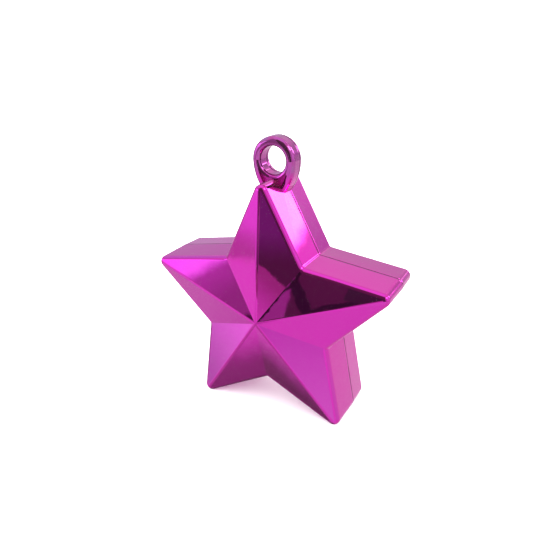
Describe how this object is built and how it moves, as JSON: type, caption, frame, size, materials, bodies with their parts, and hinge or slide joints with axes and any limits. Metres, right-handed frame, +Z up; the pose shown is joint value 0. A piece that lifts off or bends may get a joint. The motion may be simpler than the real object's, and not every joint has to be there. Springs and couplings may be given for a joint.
{
  "type": "balloon weight",
  "caption": "Faceted star-shaped balloon weight: two metallised moulded shells glued at a seam, mortar fill and a moulded eyelet for the ribbon.",
  "frame": {"origin": "on the ground under the middle of the box that the weight fills, midway between its two feet", "axes": "+Z up through the eyelet, +X to the right seen from the front, -Y towards the deeper front face"},
  "size_m": [0.089, 0.0376, 0.098],
  "materials": {
    "metallised_shell": "mirror-bright magenta metallising under clear lacquer",
    "mortar": "cast sand and cement",
    "cement": "cured solvent cement"
  },
  "bodies": {
    "root": {"front_shell": "metallised_shell", "rear_shell": "metallised_shell", "front_ballast": "mortar", "rear_ballast": "mortar", "seam_adhesive": "cement", "eyelet_adhesive": "cement"}
  },
  "joints": []
}
